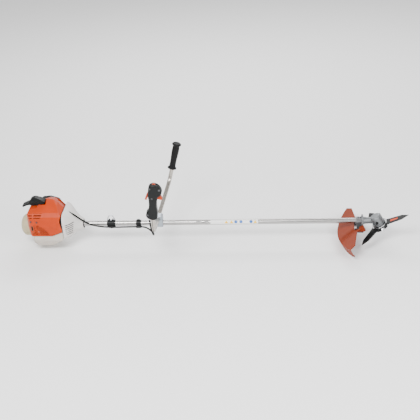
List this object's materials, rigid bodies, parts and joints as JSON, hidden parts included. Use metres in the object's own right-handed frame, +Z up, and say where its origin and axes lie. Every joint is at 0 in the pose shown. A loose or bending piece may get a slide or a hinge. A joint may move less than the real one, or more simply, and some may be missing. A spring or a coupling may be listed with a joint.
{
  "type": "brush cutter",
  "caption": "Two-stroke brush cutter: tube with bull-horn handlebar, orange engine cover, tilted gearbox, three-armed knife and deflector.",
  "frame": {"origin": "on the drive tube's axis, under the middle of the handlebar clamp", "axes": "+X forward along the drive tube to the cutting head, +Y to the operator's left, +Z up"},
  "size_m": [1.8535, 0.5449, 0.4649],
  "materials": {
    "shroud_orange": "satin moulded nylon",
    "housing_white": "fine-grained light grey polymer",
    "tank_plastic": "translucent-looking warm white polyethylene",
    "starter_plastic": "cream polymer",
    "black_plastic": "fine-grained black polymer",
    "black_rubber": "matt",
    "lever_orange": "satin",
    "deflector_orange": "matt weathered",
    "tube_aluminium": "drawn and anodised",
    "handlebar_steel": "bright plated",
    "clamp_zinc": "die cast",
    "gearbox_cast": "shot-blasted die casting",
    "blade_black": "black lacquer",
    "bright_steel": "ground",
    "zinc_steel": "zinc plated",
    "dark_steel": "phosphated",
    "engine_alloy": "as cast",
    "muffler_steel": "heat tinted",
    "filter_felt": "pleated paper",
    "bulb_rubber": "soft",
    "rope_fibre": "braided"
  },
  "bodies": {
    "machine": {"gearbox_bearings": "bright_steel", "gearbox_housing": "gearbox_cast", "grease_plug": "black_plastic", "deflector": "deflector_orange", "deflector_bracket": "dark_steel", "housing_screws": "dark_steel", "drive_tube": "tube_aluminium", "shaft_bushings": "black_rubber", "carrying_ring_clamp": "black_plastic", "cable_clip": "black_plastic", "throttle_cable": "black_rubber", "handlebar_clamp_lower": "clamp_zinc", "handlebar_clamp_upper": "clamp_zinc", "clamp_screws": "zinc_steel", "engine_shroud": "shroud_orange", "fan_housing": "housing_white", "av_bushing": "black_rubber", "fuel_tank": "tank_plastic", "starter_housing": "starter_plastic", "starter_rope": "rope_fibre", "air_filter": "filter_felt", "crankcase": "engine_alloy", "cylinder": "engine_alloy", "piston": "engine_alloy", "connecting_rod": "dark_steel", "ignition_module": "black_plastic", "muffler": "muffler_steel", "spark_plug": "zinc_steel", "carburetor": "engine_alloy"},
    "cutting_tool": {"brush_knife": "blade_black", "thrust_plate": "bright_steel", "thrust_washer": "zinc_steel", "blade_nut": "zinc_steel", "output_shaft": "bright_steel", "output_gear": "dark_steel"},
    "rider": {"rider_plate": "bright_steel"},
    "drive_train": {"clutch_drum": "dark_steel", "drive_shaft": "bright_steel", "pinion_gear": "dark_steel"},
    "crank": {"crankshaft": "bright_steel", "flywheel": "engine_alloy", "clutch_carrier": "dark_steel"},
    "shoe_upper": {"clutch_shoe_upper": "dark_steel"},
    "shoe_lower": {"clutch_shoe_lower": "dark_steel"},
    "rope_pulley": {"starter_pulley": "black_plastic"},
    "pull_handle": {"starter_grip": "black_plastic"},
    "handlebar_unit": {"handlebar": "handlebar_steel", "left_grip": "black_rubber", "handle_shell_left": "black_plastic", "handle_shell_right": "black_plastic", "handle_screws": "dark_steel"},
    "trigger": {"throttle_trigger": "lever_orange"},
    "interlock": {"trigger_interlock": "lever_orange"},
    "stop_button": {"stop_switch": "lever_orange"},
    "harness_ring": {"carrying_ring": "zinc_steel"},
    "carb_lever": {"throttle_lever": "zinc_steel"},
    "choke": {"choke_knob": "black_plastic"},
    "primer": {"primer_bulb": "bulb_rubber"},
    "tank_cap": {"fuel_cap": "black_plastic"},
    "air_cover": {"filter_cover": "black_plastic"}
  },
  "joints": [
    {"name": "tool_spin", "type": "hinge", "parent": "machine", "child": "cutting_tool", "pos_m": [1.04, 0, 0], "axis": [0.4695, 0, -0.8829], "continuous": true},
    {"name": "drive_spin", "type": "hinge", "parent": "machine", "child": "drive_train", "pos_m": [0, 0, 0], "axis": [1, 0, 0], "continuous": true},
    {"name": "rider_spin", "type": "hinge", "parent": "cutting_tool", "child": "rider", "pos_m": [1.04, 0, 0], "axis": [0.4695, 0, -0.8829], "continuous": true},
    {"name": "crank_spin", "type": "hinge", "parent": "machine", "child": "crank", "pos_m": [0, 0, 0], "axis": [1, 0, 0], "continuous": true},
    {"name": "shoe_upper_slide", "type": "slide", "parent": "crank", "child": "shoe_upper", "axis": [0, 0, 1], "range_m": [0, 0.0012], "stiffness_N_per_m": 500, "springref_m": -0.005},
    {"name": "shoe_lower_slide", "type": "slide", "parent": "crank", "child": "shoe_lower", "axis": [0, 0, -1], "range_m": [0, 0.0012], "stiffness_N_per_m": 500, "springref_m": -0.005},
    {"name": "starter_pull", "type": "slide", "parent": "machine", "child": "pull_handle", "axis": [0, 0, 1], "range_m": [0, 0.9], "stiffness_N_per_m": 12, "springref_m": -0.25, "deforming": ["starter_rope"]},
    {"name": "pulley_spin", "type": "hinge", "parent": "machine", "child": "rope_pulley", "pos_m": [-0.604, 0, 0], "axis": [1, 0, 0], "range_deg": [0, 1845]},
    {"name": "handlebar_tilt", "type": "hinge", "parent": "machine", "child": "handlebar_unit", "pos_m": [0, 0, 0.027], "axis": [0, 1, 0], "range_deg": [-20, 60], "deforming": ["throttle_cable"]},
    {"name": "trigger_pull", "type": "hinge", "parent": "handlebar_unit", "child": "trigger", "pos_m": [0.04759, -0.2519, 0.3069], "axis": [0.0061, 0.9976, 0.0692], "range_deg": [0, 16], "stiffness_Nm_per_rad": 0.25, "springref_deg": -17.19},
    {"name": "interlock_press", "type": "hinge", "parent": "handlebar_unit", "child": "interlock", "pos_m": [0.01864, -0.25225, 0.31444], "axis": [-0.0061, -0.9976, -0.0692], "range_deg": [0, 10], "stiffness_Nm_per_rad": 0.25, "springref_deg": -17.19},
    {"name": "stop_slide", "type": "slide", "parent": "handlebar_unit", "child": "stop_button", "axis": [0.9962, 0, -0.0872], "range_m": [0, 0.005], "stiffness_N_per_m": 300, "springref_m": -0.002},
    {"name": "ring_swing", "type": "hinge", "parent": "machine", "child": "harness_ring", "pos_m": [-0.231, 0, 0.0185], "axis": [1, 0, 0], "range_deg": [-55, 55]},
    {"name": "throttle_open", "type": "hinge", "parent": "machine", "child": "carb_lever", "pos_m": [-0.545, 0.055, 0.068], "axis": [1, 0, 0], "range_deg": [0, 60]},
    {"name": "choke_turn", "type": "hinge", "parent": "machine", "child": "choke", "pos_m": [-0.584, 0.066, -0.002], "axis": [0, 1, 0], "range_deg": [0, 60]},
    {"name": "primer_press", "type": "slide", "parent": "machine", "child": "primer", "axis": [0, -1, 0], "range_m": [0, 0.004], "stiffness_N_per_m": 500, "springref_m": -0.001},
    {"name": "cap_turn", "type": "hinge", "parent": "machine", "child": "tank_cap", "pos_m": [-0.496, 0.084, -0.038], "axis": [0.1008, 0.9478, 0.3025], "range_deg": [0, 180]},
    {"name": "cover_off", "type": "slide", "parent": "machine", "child": "air_cover", "axis": [0, 1, 0], "range_m": [0, 0.08]}
  ],
  "couplings": [
    {"joint": "drive_spin", "follows": "tool_spin", "ratio": 1.4},
    {"joint": "shoe_lower_slide", "follows": "shoe_upper_slide", "ratio": 1},
    {"joint": "pulley_spin", "follows": "starter_pull", "rad_per_m": 35.714},
    {"joint": "throttle_open", "follows": "trigger_pull", "ratio": 3.75}
  ]
}
